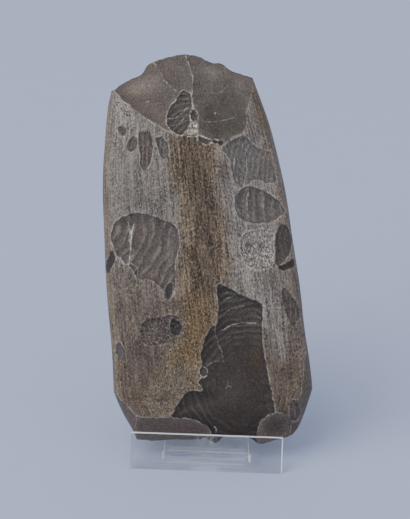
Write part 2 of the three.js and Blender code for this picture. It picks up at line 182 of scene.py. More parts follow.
FRONT_SCARS = [
    flake(2.3, 6, FRESH_RED, 0.6, 0.4, ripple=(16, 24, 2.6, 0.08, 0.2, 17), ridge_rim=0.25, outline=[
        (1.8, 63.5), (6, 62.5), (11.1, 59.9), (16.7, 57.8), (19.6, 56.4), (20.2, 53), (20.2, 47),
        (21, 38.3), (22.4, 32.4), (25.2, 20.6), (26.4, 14.2), (23.6, 12.1), (20.4, 8), (18.5, -4),
        (3, -4), (1.4, 5), (-3, 8.4), (-8, 9.9), (-14.1, 10.5), (-12.7, 14.6), (-10, 19.4), (-6.7, 21.6),
        (-2.3, 21.6), (-4.5, 24.6), (-2, 28.4), (-3, 31.2), (-3.6, 35.9), (-1.6, 44.6), (2.2, 48.7),
        (2.2, 56),
    ], ridges=[
        [(2.2, 48.7), (1.4, 45.5), (2.8, 40.9), (4.5, 37), (5.5, 33.5)],
        [(-1.9, 30.2), (0, 32.1), (2.5, 33.2), (6, 33.4)],
    ], runs_over=True),
    flake(1.3, 5, SCAR_DULL, 0.7, 0.45, ripple=(-50, 86, 3.6, 0.14, 0.4, 0), ridge_rim=0.9, outline=[
        (-40.9, 79.3), (-40.4, 84), (-38.4, 87.4), (-32.4, 90.2), (-26, 89.8), (-17.7, 87), (-14.8, 84.8),
        (-13.4, 79), (-14.9, 71), (-14.4, 63.7), (-15, 58.6), (-17.2, 57), (-19.6, 60.4), (-24.7, 64.1),
        (-29.8, 64.2), (-32, 68), (-35.4, 69.8), (-38.4, 73.4),
    ], ridges=[
        [(-31.8, 85.8), (-32.7, 82), (-32.8, 74), (-33.3, 69)],
    ]),
    flake(1.1, 5, SCAR_BLUE, 0.8, 0.35, ripple=(60, 104, 1.9, 0.07, 0.35, 0), outline=[
        (1.6, 116), (2.6, 118), (7, 121.1), (9.7, 122.3), (12.3, 120.8), (15, 118.3), (20.7, 115.9),
        (22.6, 110), (23.9, 104.8), (21.1, 103.8), (14.7, 104.6), (12.2, 102.9), (9.8, 101.5), (7.4, 103),
        (5.8, 107), (4.6, 112.5),
    ]),
    flake(1.1, 4, SCAR_GREY, 0.7, 0.5, ripple=(52, 96, 3.6, 0.14, 0.5, 0), outline=[
        (7.1, 95.2), (7.5, 98.3), (9.3, 100.8), (12.4, 102.5), (18.4, 101.2), (23.7, 98.2), (27.3, 94.6),
        (26.6, 91.8), (22.4, 88.6), (16.4, 87.6), (10.5, 88.9), (8, 91.6),
    ], ridges=[
        [(12.6, 101.5), (12.2, 96), (13.2, 88.6)],
        [(19.2, 100), (18.8, 95), (20, 91)],
    ]),
    flake(0.6, 2.5, SCAR_LIGHT, 1.7, 0.7, ripple=(60, 60, 1.5, 0.05, 0.7, 0), outline=[
        (10.2, 79), (10.8, 82.9), (14, 84.8), (19.7, 85.9), (22.8, 84.2), (24.6, 78), (24.4, 73),
        (21.4, 70.4), (17, 69.5), (13, 71), (10.4, 75.6),
    ]),
    flake(1.0, 3, SCAR_DULL, 0.6, 0.4, ripple=(45, 82, 2.6, 0.05, 0.15, 0), outline=[
        (24, 83), (25.4, 87.6), (27.6, 88.1), (30.1, 85.2), (31, 81), (29.9, 75.6), (27, 72.2),
        (24.8, 71.4), (24, 76),
    ]),
    flake(0.6, 1.6, FRESH_RED, 0.6, 0.2, [
        (25, 71), (28, 72.4), (31.4, 74.6), (32.4, 72.2), (30.4, 70.2), (27.4, 69.6),
    ]),
    flake(0.6, 3, SCAR_DULL, 0.9, 0.1, ripple=(60, 58, 1.8, 0.04, 0.3, 0), outline=[
        (26.9, 61.6), (29, 62.9), (31.2, 60), (34, 56.3), (35, 52.6), (33.4, 48.4), (32.4, 47.4),
        (30.6, 49.8), (28.6, 54.6),
    ]),
    flake(0.7, 2.5, SCAR_DULL, 1.5, 0.2, ripple=(-26, 20, 2.2, 0.05, 0.2, 0), outline=[
        (-27.9, 46), (-25.2, 48.7), (-20.6, 49.8), (-15.2, 50.9), (-12.2, 49.6), (-10.4, 45.1),
        (-12.4, 42.4), (-14.8, 39.8), (-20.5, 38.7), (-25.8, 38.6), (-27.8, 42),
    ]),
    flake(0.9, 1.4, SCAR_DARK, 1.8, 0.35, [
        (-15.4, 49.8), (-12.6, 48.6), (-11.2, 45.6), (-13, 42.4), (-15.8, 43.6), (-16.4, 47),
    ]),
    flake(0.6, 2, SCAR_DULL, 0.8, 0.55, ripple=(-30, 117, 1.2, 0.03, 0.4, 0), outline=[
        (-35.8, 117.4), (-34.4, 119.9), (-32.2, 120.2), (-31.4, 117.5), (-32.6, 114.6), (-34.9, 114),
    ]),
    flake(0.7, 2, SCAR_DULL, 1.0, 0.45, ripple=(-60, 116, 1.7, 0.05, 0.6, 0), outline=[
        (-31.2, 121.6), (-28.4, 122.6), (-26.2, 121.4), (-25.3, 116), (-26, 110.4), (-28.2, 106.6),
        (-30.2, 108.6), (-30.6, 114), (-31.6, 118.4),
    ]),
    flake(0.7, 2, SCAR_GREY, 0.8, 0.5, ripple=(-50, 114, 1.6, 0.05, 0.3, 0), outline=[
        (-24.6, 119.6), (-22.4, 120.8), (-20, 118.2), (-18.9, 114.6), (-20.4, 111.3), (-22.2, 112.4),
        (-23.8, 116),
    ]),
    flake(0.35, 1.5, SCAR_LIGHT, 2.2, 0.4, [
        (-41, 135.4), (-41, 132.4), (-38.8, 129.6), (-34.6, 127), (-33.2, 127.6), (-36.6, 131),
    ]),
    flake(0.3, 1.5, SCAR_DULL, 1.2, 0.1, [
        (-39.7, 124), (-37.3, 124.5), (-36, 122.6), (-36.6, 120.6), (-39, 120.8),
    ]),
    flake(0.7, 1.5, SCAR_DARK, 0.6, 0.4, [
        (-39.9, 75.3), (-42, 72.4), (-42.9, 68.4), (-41.7, 65.6), (-40, 68.2), (-38.7, 72),
    ]),
    flake(0.7, 1.6, SCAR_GREY, 0.8, 0.35, [
        (-37.8, 37), (-36.6, 39.2), (-34.8, 38.2), (-33.1, 34), (-33, 31), (-35.6, 32), (-37.3, 34.6),
    ]),
    flake(0.3, 0.8, SCAR_DULL, 0.8, 0.15, (-33.9, 45.3, 0.7, 3.4, 2)),
    flake(0.4, 1, SCAR_DULL, 0.8, 0.1, (-22.8, 32, 0.9, 2.5, 4)),
    flake(0.5, 1.6, SCAR_DARK, 0.6, 0.3, (-17, 60, 1.8, 3.4, -10)),
    flake(0.5, 2, SCAR_DULL, 0.8, 0.3, ripple=(20, 12, 1.8, 0.04, 0.3, 0), outline=[
        (31.9, 16.4), (33.4, 19.2), (35.6, 17.6), (36.8, 13.9), (35.2, 10), (32.6, 11.6),
    ]),
    flake(0.9, 4, FRESH_GREY, 0.7, 0.7, ripple=(-3, 108, 2.1, 0.12, 0.35, 0), outline=[
        (-17.2, 136), (-19.6, 132.4), (-20.7, 128), (-19.8, 124), (-16.4, 121.3), (-13.8, 121.5),
        (-11.4, 125.6), (-11.2, 130), (-10.6, 134), (-11.6, 138.4), (-14.6, 139.6),
    ]),
    flake(0.9, 1.3, SCAR_DULL, 1.6, 0.9, [
        (-10.4, 132.5), (-8.6, 130.8), (-8.2, 128.4), (-9, 126.7), (-10.7, 127.6), (-11.4, 130),
    ]),
    flake(0.7, 1.2, PATINA, 2.4, 0.7, [
        (-12.6, 122.6), (-11, 125.4), (-9.6, 126.7), (-8.6, 125), (-8.8, 122.6), (-10.8, 121.7),
    ]),
    flake(1.0, 1.4, SCAR_DULL, 0.5, 0.95, [
        (-8.3, 121.3), (-7.5, 119.2), (-5.4, 117.8), (-3, 118.2), (-2.2, 119.6), (-4.6, 120.6),
    ]),
    flake(0.8, 1.0, FRESH_RED, 0.4, 0.9, (-1.1, 119.1, 1.4, 1.2, 0)),
    flake(0.6, 1.0, FRESH_RED, 0.4, 0.3, (1.2, 118.9, 1.1, 1.5, -20)),
    flake(0.7, 1.2, FRESH_GREY, 0.4, 0.85, (-2.6, 28.9, 1.5, 2.2, 20)),
]
BACK_SCARS = [
    flake(1.0, 5, SCAR_GREY, 0.9, 0.4, ripple=(-54, 101, 3.8, 0.08, 0.2, 0), outline=[
        (-52, 113), (-40, 114.5), (-33, 110), (-28.5, 103), (-29, 96), (-34, 90.5), (-41, 88.5),
        (-52, 90),
    ]),
    flake(0.9, 4, SCAR_DULL, 0.9, 0.3, ripple=(-54, 59, 3.2, 0.07, 0.2, 0), outline=[
        (-50, 70), (-38, 70.5), (-31, 66), (-28.5, 59), (-31.5, 51.5), (-38, 47), (-50, 48),
    ]),
    flake(1.1, 5, SCAR_BLUE, 0.9, 0.4, ripple=(44, 106, 3, 0.1, 0.3, 0), outline=[
        (36, 113), (24, 115), (14.5, 110), (11, 102.5), (16.5, 96.5), (25, 95), (36, 98),
    ]),
    flake(1.0, 5, SCAR_GREY, 0.9, 0.4, ripple=(50, 68, 3.4, 0.08, 0.2, 0), outline=[
        (46, 80), (33, 81.5), (25, 77), (20.5, 69), (22.5, 60), (30, 54.5), (46, 56),
    ]),
    flake(1.3, 6, FRESH_GREY, 0.6, 0.4, ripple=(-12, -6, 2.8, 0.09, 0.2, 26), outline=[
        (-21, 6), (-24, 20), (-21, 33), (-13, 42.5), (-5, 41), (-1, 33), (-3.5, 24), (-2, 14), (-4, 5),
    ]),
    flake(0.8, 3, SCAR_DULL, 0.9, 0.3, ripple=(54, 34, 2.6, 0.05, 0.2, 0), outline=[
        (48, 45), (36, 44.5), (28.5, 40), (26, 32.5), (30.5, 26.5), (48, 26),
    ]),
    flake(0.6, 2, SCAR_GREY, 0.9, 0.2, (-14, 112, 2.2, 5, 12)),
    flake(0.6, 2, SCAR_GREY, 0.9, 0.3, (-35, 34, 2, 4.6, -8)),
]

# White strokes on the front face: small steps and bruises, as (points, whiteness).
FRONT_MARKS = [
    ([(3.3, 44.6), (6.5, 46.7), (9.6, 48.1), (13.1, 48.7), (17.5, 48.6)], 0.45),
    ([(3, 50.3), (5.5, 52.7), (8.6, 54.4), (12.5, 55.3)], 0.22),
    ([(3.2, 56.1), (5.7, 57.8), (8.4, 59.1)], 0.3),
    ([(3.4, 58.5), (6, 60.5)], 0.25),
    ([(5.1, 41.7), (7.8, 43.4)], 0.3),
    ([(6.6, 22.6), (7.4, 23.8), (7.4, 25.6)], 0.6),
    ([(7.4, 23.8), (8.8, 23.2)], 0.5),
    ([(2.6, 7), (3.4, 6), (3.4, 4.6)], 0.7),
    ([(-34.2, 86.5), (-33.5, 82.6), (-33.7, 78.7)], 0.45),
    ([(-32.8, 80), (-32.9, 74), (-33.6, 70), (-35.4, 70.6), (-37.4, 73)], 0.9),
    ([(-29.6, 65), (-29.9, 68.6), (-32.4, 70.4)], 0.5),
    ([(-3.5, 139.4), (-1.1, 138.9), (0.9, 140), (2, 141.3)], 0.25),
    ([(-7.8, 127.7), (-4.2, 127.2), (-0.3, 127.6), (3.2, 128.4), (6, 129.2)], 0.3),
    ([(-1.8, 130.6), (-1.4, 131)], 0.6),
    ([(-28.8, 134.2), (-27.8, 134.6)], 0.5),
    ([(-20.2, 127.8), (-16.9, 128.4), (-14.6, 130.3), (-12.3, 132.8)], 0.45),
    ([(-19.2, 124.6), (-16, 125.7), (-13.7, 128.3)], 0.35),
    ([(30, 56), (31, 56.6)], 0.7),
    ([(39.3, 40.4), (37.6, 36.2), (37.1, 30.7)], 0.35),
    ([(7.2, 115), (6.5, 111), (7.2, 106), (9.4, 101.8)], 0.6),
    ([(11.4, 114), (11.6, 108), (10.8, 102.6)], 0.5),
    ([(-4.8, 76), (-4.2, 70), (-3.4, 64)], 0.2),
]

# Soft patches of another colour on the front face, one of them painted shade: u, v, half widths, turn,
# colour, share.
FRONT_STAINS_AND_SHADE = [
    (-31, 140.5, 9, 4.4, 24, FACET_TAN, 0.8),
    (-26, 132, 9, 4, -35, FACET_RED, 0.8),
    (-20, 148, 5, 5, 0, FACET_RED, 0.6),
    (-3, 148, 9, 4, 0, FACET_TAN, 0.4),
    (3, 130, 12, 14, 0, FACET_GREY, 0.9),
    (8, 143, 4, 4, 0, FACET_TAN, 0.3),
    (3, 123, 9, 3.6, 16, FRESH_GREY, 0.5),
    (9.4, 129, 1.8, 5.4, 0, FRESH_GREY, 0.8),
    (16.5, 134, 4, 13, 14, BAND_BROWN, 0.9),
    (20, 116, 4, 8, 14, SIDE_BROWN, 0.7),
    (13, 122, 3, 6, 0, SCAR_BLUE, 0.5),
    (-33, 12, 3.4, 8, 30, BEVEL_GREEN, 0.9),
    (38.4, 24, 2.6, 14, 0, BEVEL_GREEN, 0.9),
    (34, 8, 3, 5, 0, SCAR_DULL, 0.8),
    (-16.5, 96, 3.6, 7, 0, STRIP_PALE, 0.35),
    (-39, 126, 7, 11, 0, PATINA, 0.35),
    (-34, 124, 6, 4, -20, STRIP_PALE, 0.5),
    (-40, 104, 4, 18, 0, STRIP_PALE, 0.75),
    (27, 8, 6, 5, 0, FRESH_RED, 0.7),
    (26.5, 42, 5.4, 11, 8, STRIP_PALE, 0.8),
    (26.6, 33.5, 6, 2.6, -6, SIDE_TAN, 0.5),
    (33.4, 63, 2.4, 12, 10, SIDE_BROWN, 0.5),
    (27, 62, 4, 9, 10, STRIP_PALE, 0.4),
    (-24, 29, 4, 4, 0, BAND_OCHRE, 0.35),
    (-25, 34, 9, 10, 0, FRESH_GREY, 0.5),
    (2.6, 109, 3, 9, 0, SCAR_DULL, 0.7),
    (34, 30, 3, 10, 0, SIDE_TAN, 0.5),
    (-29, 8, 4, 10, 30, SCAR_DULL, 0.35),
    (9, 55, 9, 7, -14, FRESH_GREY, 0.8),
    (0, 26, 5, 6, 0, FRESH_GREY, 0.6),
    (9, 22, 6, 6, 0, FRESH_GREY, 0.5),
    (19, 37, 2.4, 11, -12, FRESH_OCHRE, 0.5),
    (9, 7, 6, 2.8, 0, FRESH_OCHRE, 0.5),
    (-17, 76, 1.8, 11, -6, SCAR_BLUE, 0.7),
    # Painted shade along the top inner wall of the large left scar.
    (-33, 87, 7, 2.4, 6, SCAR_DARK, 0.5),
    (19, 109, 4.4, 5, 0, SCAR_DULL, 0.5),
    (13.6, 79.3, 1.9, 3.0, -10, FRESH_GREY, 1),
    (18.4, 78.6, 1.5, 2.6, 0, FRESH_GREY, 0.9),
    (-17.5, 45, 4, 4, 0, SCAR_DARK, 0.5),
]

BACK_STAINS = [
    (-24, 100, 10, 26, 8, STRIP_PALE, 0.5),
    (17, 45, 12, 22, -8, POLISH_PALE, 0.6),
    (-22, 32, 10, 14, 0, BAND_OCHRE, 0.4),
    (14, 92, 5, 22, 6, STRIP_PALE, 0.5),
    (-32, 139, 7, 6, 20, FACET_TAN, 0.6),
    (-14, 142, 7, 8, 0, FACET_GREY, 0.7),
    (-13, 131, 6, 4, 0, FACET_RED, 0.5),
    (4, 138, 7, 8, 0, FACET_TAN, 0.4),
]

# Bands of colour in the ground faces.
BAND = [
    (-18.3, 124), (-18, 111.3), (-15.4, 99.7), (-13.6, 84.1), (-13.4, 72.4), (-13.8, 60), (-11, 45.1),
    (-14.6, 37), (-20, 27), (-25, 16.8), (-27.4, 9), (-12.5, 9), (-9.5, 17.5), (-2.5, 27.5),
    (-1.5, 39.5), (2, 49.5), (3, 60), (7, 69.2), (5.6, 76), (3.4, 84), (1.6, 94.4), (-0.3, 104.2),
    (-1.6, 121),
]
# Tones within the front's band: points, colour, share and reach.
BAND_TONES = [
    ([(-9.5, 121), (-7.5, 104), (-4.5, 88), (-3.5, 74), (-2.6, 62)], BAND_CORE, 0.8, 7),
    ([(-6, 55), (-6.5, 46), (-7.5, 37), (-11.5, 29), (-16, 23)], BAND_OCHRE, 0.9, 10),
    ([(-13, 26), (-19, 18), (-22, 10)], GRANULAR, 0.8, 9),
]
BAND_EDGE = (-3.5, 2.5)
BAND_WAVER = 1.6
BACK_BAND_SHARE = 0.8
# Pale strip beside the front's band.
PALE_LINE = [(1.8, 115), (3, 104), (6, 94), (8, 82), (11, 70), (18, 61), (23, 52)]
PALE_LINE_REACH = 9
PALE_LINE_SHARE = 0.9
PALE_LINE_LOSS = 0.6
PALE_LINE_FADE = (74, 96)
# Heights between which the polish turns pale, and the side margins: colour, share and reach.
PALE_RISE = (25, 105)
PALE_WAVER = 10
LEFT_MARGIN = (SIDE_TAN, 0.8, 1.5, 4.5)
RIGHT_MARGIN = (SIDE_BROWN, 0.9, 3, 6.5)
# Graininess, and how much the lengthwise streaks, which are 1 in the polish, change in the band.
POLISH_GRAIN = 0.85
BAND_GRAIN = 0.35
FACET_GRAIN = 0.6
BAND_STREAK = 0.7
STREAK_RISE = (30, 70)
SCAR_STREAK = 0.15
# Borders of the facets and scars in the colours, the pale margins of the scars, and the painted shade
# just inside their borders.
FACET_BLEND = 0.02
SCAR_BLEND = (-0.15, 0.25)
MARGIN_REACH = 1.1
MARGIN_PALE = 0.35
MARGIN_PAINTED_SHADE = 0.45
# Distance given where no white line is near.
FAR = 9.0

# Every noise of a face has its own seed, counted from the face's first one.
FRONT_SEED = 100
BACK_SEED = 400
# Noises of a face: height, length of a cell across and along, and number of the seed.
GROOVES = (0.05, 1.3, 24, 3)
FLATS = (0.09, 4.2, 46, 4)
ROUGHNESS = (0.035, 1.2, 1.2, 5)
RIPPLE_DRIFT = (0.42, 6.5, 6.5, 7)
RIPPLE_PATCHES = (0.5, 5, 5, 8)
TONE_PATCHES = (1, 11, 16, 11)
RIPENESS = (0.12, 7, 7, 12)
STAIN_EDGES = (0.2, 3, 3, 15)
LATTICE = 97
NOISE_GAIN = 1.6

# Fine mesh: its grid, and the reach within which its points settle on a sharp line.
COLUMNS = 150
ROWS = 290
WALL_STEPS = 6
SETTLE_REACH = 0.27
CURVE_STEPS = 8
SIDE_STEPS = 40
FACE_WIDTH = 80.0
FACE_LENGTH = 150.0
LOOP_MARGIN = 6.0

# Relief
RIDGE_REACH = 2.6
RIDGE_SHARE = 0.6
SOFT_POWER = 1.8
RUN_OVER_REACH = 5.0
RIPPLE_STRENGTH = 0.7
RIPPLE_RISE = 1.2
RIPPLE_FADE = 7.0
MARK_HEIGHT = 0.12
MARK_REACH = 0.7
SIDE_FADE = 0.06
# Irregularity of broken lines: wavelength, spacing of points and heights.
BREAK_WAVE = 2.3
BREAK_STEP = 0.7
BORDER_BREAKS = 0.35
FACET_BREAKS = 0.3
RIDGE_BREAKS = 0.25
MARK_BREAKS = 0.15
EDGE_CHIPS = 0.3

# Noises of the materials: stretch, shift, scale, detail, roughness, and the range that is spread out.
NOISES = {
    "speck": ((1, 0.65, 1), (0, 0, 0), 1.7, 2, 0.6, (0.38, 0.62)),
    "lanes": ((1.1, 0.07, 1.1), (0, 0, 0), 1, 4, 0.6, (0.34, 0.66)),
    "cloud": ((1, 1, 1), (0, 0, 0), 0.14, 3, 0.6, (0.3, 0.7)),
    "bright": ((1, 0.65, 1), (7, 3, 1), 1.6, 1, 0.6, (0.53, 0.66)),
    "pits": ((1, 0.55, 1), (31, 13, 5), 1.6, 1, 0.6, (0.54, 0.7)),
    "crests": ((1, 1, 1), (0, 0, 0), 0.5, 3, 0.6, (0.35, 0.6)),
    "widths": ((1, 1, 1), (0, 0, 0), 0.6, 2, 0.6, (0.35, 0.65)),
    "breaks": ((1, 1, 1), (3, 9, 2), 0.45, 3, 0.75, (0.4, 0.62)),
    "scuffs": ((60, 60, 900), (0, 0, 0), 1, 3, 0.6, (0.4, 0.75)),
    "drawn_lines": ((90, 90, 1600), (0, 0, 0), 1, 3, 0.7, (0.46, 0.6)),
    "scratches": ((700, 700, 500), (3, 1, 2), 1, 3, 0.7, (0.53, 0.58)),
    "fibre": ((1, 1, 1), (0, 0, 0), 40, 4, 0.6, (0.3, 0.7)),
}
# Shares of the noises in the lightness of the flint, and its least lightness.
SPECK_SHARE = 0.26
BRIGHT_SHARE = 0.9
PIT_SHARE = -0.65
LANE_SHARE = 0.34
CLOUD_SHARE = 0.12
LEAST_LIGHT = 0.25
# White lines and pale crests of the ripples.
LINE_WIDTHS = (0.15, 0.5)
LINE_CORE = 0.3
LINE_SHARES = (0.1, 1.0)
CREST_RANGE = (0.1, 1.0)
CREST_SHARES = (0.2, 1.0)
CREST_PALE = 0.6
RIPPLE_LIFT = 1.2
FLINT_ROUGHNESS = (0.5, 0.7)

# Clear stand
SHEET = 2.5
LIP_WIDTH = 60.0
LIP_LENGTH = 14.5
STRIP_WIDTH = 34.0
LEDGE_TOP = 5.5
BACK_REST_AT = 28.4
BACK_REST_REACH = 98.0
LEG_FOOT_AT = 80.0
BEND_RADIUS = 3.75
BEND_STEPS = 16
EDGE_BEVEL = 0.35
FOOT_LIFT = 0.05
# Directions up the leaning sheets and through them, in y and z.
UP = Vector((math.sin(LEAN), math.cos(LEAN)))
THROUGH = Vector((math.cos(LEAN), -math.sin(LEAN)))
# Acrylics: name, colour, share of light let through, cover, roughness and whether it has the joint's
# painted light.
ACRYLICS = [
    ("clear_acrylic", (0.9, 0.91, 0.93, 1), 0.75, 0.14, 0.02, False),
    # Near-white, nearly opaque edge acrylic: a painted highlight along the stand's edges.
    ("painted_highlight_acrylic", (1.0, 1.0, 1.0, 1), 0.1, 0.9, 0.2, False),
    # Lip plate acrylic: dark grey as painted shade, dimming what is seen through it, with real scuffs and
    # scratches.
    ("scuffed_shaded_acrylic", (0.12, 0.12, 0.12, 1), 0.2, 0.15, 0.05, True),
]
CLEAR, HIGHLIGHT_EDGE, SCUFFED_SHADED = range(3)
# Light caught in the lip plate where the ledge joins it: heights of its lines, and half sizes.
JOINT_LINES = (3.1, 4.9, 7.4)
JOINT_HALF = 15.5
JOINT_SOFT = 0.5
JOINT_LINE_HALF = 0.15
# Rubbed middle of the lip plate, and the height of its drawn lines.
SCUFF_HALF = 9.0
SCRATCH_TOP = 7.0
# Width along the strip's sides in which a painted highlight stands for their polished edges showing
# through the sheet.
PAINTED_EDGE_GLOW = 2.2

# Surroundings
PAPER = (183, 193, 223)
FLOOR_REACH = 3.0
SKY_COLOUR = (0.86, 0.905, 1.0, 1)
SKY_STRENGTH = 0.78
# Lamps: name, kind, power, place, aim and settings. The key is broad, the fill weak and near.
KEY_SPREAD = math.radians(55)
LAMPS = [
    ("key", "SUN", 1.5, (-0.7, -0.55, 0.9), (0, 0, 0), dict(angle=KEY_SPREAD, color=(1, 0.98, 0.95))),
    ("fill", "AREA", 1.5, (-0.5, -0.62, 0.5), (-0.1, -0.15, 0), dict(size=0.4)),
]

# Camera: it looks straight at the axe head's middle plane.
CAMERA_ELEVATION = math.radians(20)
CAMERA_ROLL = math.radians(2.1)
CAMERA_DISTANCE = 650.0
CAMERA_AIM = (-3.4, 72.9)
FOCAL_PIXELS = 1625.0
LONG_SIDE_PIXELS = 519
SENSOR = 36.0

stand_low, stand_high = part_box("acrylic_stand")
STAND_AT = Vector(((stand_low.x + stand_high.x) / 2, stand_low.y, 0))


# Lines and distances


def curve_through(points, closed=False, steps=CURVE_STEPS):
    """A Catmull-Rom curve through the points, with so many steps between two points."""
    p = np.array(points, float)
    if closed:
        p = np.vstack([p[-1], p, p[0], p[1]])
    else:
        p = np.vstack([2 * p[0] - p[1], p, 2 * p[-1] - p[-2]])
    t = np.linspace(0, 1, steps, endpoint=False)[:, None]
    parts = []
    for a, b, c, d in zip(p[:-3], p[1:-2], p[2:-1], p[3:]):
        into = (c - a) / 2
        away = (d - b) / 2
        bend = 3 * (c - b) - 2 * into - away
        parts.append(b + into * t + bend * t**2 + (2 * (b - c) + into + away) * t**3)
    return np.vstack([*parts, p[-2]])


def oval_line(u, v, across, along, turn, steps=4 * CURVE_STEPS):
    angle = np.linspace(0, 2 * math.pi, steps + 1)
    c = math.cos(math.radians(turn))
    s = math.sin(math.radians(turn))
    x = across * np.cos(angle)
    y = along * np.sin(angle)
    return np.stack([u + c * x - s * y, v + s * x + c * y], 1)


def run_along(line):
    """Length of a line up to each of its points."""
    return np.r_[0, np.cumsum(np.linalg.norm(np.diff(line, axis=0), axis=1))]


def at_share(line, share):
    """Points at shares of a line's length."""
    run = run_along(line)
    return np.stack([np.interp(share * run[-1], run, line[:, k]) for k in (0, 1)], -1)


def nearest_on(line, uv):
    """The nearest point of a line to each of uv, and its distance."""
    best = np.full(len(uv), 1e9)
    place = np.zeros_like(uv)
    for a, b in zip(line[:-1], line[1:]):
        d = b - a
        share = np.clip(((uv - a) @ d) / max(d @ d, 1e-9), 0, 1)
        here = a + share[:, None] * d
        gap = np.hypot(*(here - uv).T)
        closer = gap < best
        best[closer] = gap[closer]
        place[closer] = here[closer]
    return place, best


def inside(loop, uv):
    """Whether each of uv is inside a closed loop."""
    result = np.zeros(len(uv), bool)
    u, v = uv.T
    for (au, av), (bu, bv) in zip(loop, np.roll(loop, -1, 0)):
        if av == bv:
            continue
        crosses = (av > v) != (bv > v)
        result ^= crosses & (u < au + (v - av) * (bu - au) / (bv - av))
    return result


def depth_inside(loop, uv):
    """Signed distance to a loop, positive inside it. Points far outside only get a rough one."""
    near = np.all((uv > loop.min(0) - LOOP_MARGIN) & (uv < loop.max(0) + LOOP_MARGIN), 1)
    result = np.full(len(uv), -LOOP_MARGIN)
    if near.any():
        distance = nearest_on(loop, uv[near])[1]
        result[near] = np.where(inside(loop, uv[near]), distance, -distance)
    return result


def smooth(low, high, x):
    t = np.clip((x - low) / (high - low), 0, 1)
    return t * t * (3 - 2 * t)


def wander(x, y, seed):
    """Gradient noise between about -1 and 1 on a lattice of unit cells."""
    turns = np.random.default_rng(seed).uniform(0, 2 * math.pi, (LATTICE, LATTICE))
    xi = np.floor(x).astype(int)
    yi = np.floor(y).astype(int)
    fx = x - xi
    fy = y - yi

    def corner(i, j):
        angle = turns[(xi + i) % LATTICE, (yi + j) % LATTICE]
        return np.cos(angle) * (fx - i) + np.sin(angle) * (fy - j)

    sx = fx**3 * (fx * (6 * fx - 15) + 10)
    sy = fy**3 * (fy * (6 * fy - 15) + 10)
    low = corner(0, 0) * (1 - sx) + corner(1, 0) * sx
    high = corner(0, 1) * (1 - sx) + corner(1, 1) * sx
    return NOISE_GAIN * (low * (1 - sy) + high * sy)


def roughened(line, seed, height=BORDER_BREAKS):
    """A line with the small irregularity of a broken edge."""
    count = max(CURVE_STEPS, int(run_along(line)[-1] / BREAK_STEP))
    fine = at_share(line, np.linspace(0, 1, count))
    u, v = fine.T / BREAK_WAVE
    return fine + height * np.stack([wander(u, v, seed), wander(u, v, seed + 1)], 1)


def broken(lines, seed, height):
    return [roughened(curve_through(line), seed, height) for line in lines]


def off_ridges(ridges, uv):
    """0 on the ridges, rising towards 1 away from them."""
    nearest = np.min([nearest_on(ridge, uv)[1] for ridge in ridges], axis=0)
    return 1 - np.exp(-nearest / RIDGE_REACH)


# Relief of the faces


def unevenness(u, v):
    """Broad swells and slanting furrows that hand grinding leaves."""
    swell, across, along = SWELL
    furrow, slant_across, slant_along = FURROW
    swells = swell * np.sin(u / across + SWELL_SHIFT) * np.sin(v / along)
    return swells + furrow * np.sin(u / slant_across - v / slant_along)


def body_half(crown, side, half_width, u, v):
    """Half thickness of the ground body: a lens with rounded shoulders and narrow sides."""
    full = crown - CROWN_LOSS * ((v - CROWN_AT) / CROWN_REACH) ** 2
    shoulder = SHOULDER_SHARE * full
    lens = shoulder + (full - shoulder) * (1 - side**2)
    from_side = np.clip(half_width * (1 - np.abs(side)) / SHOULDER_WIDTH, 0, 1)
    rounding = (shoulder - SIDE_HALF) * (1 - np.sqrt(1 - (1 - from_side) ** 2))
    return lens - rounding + from_side * unevenness(u, v)


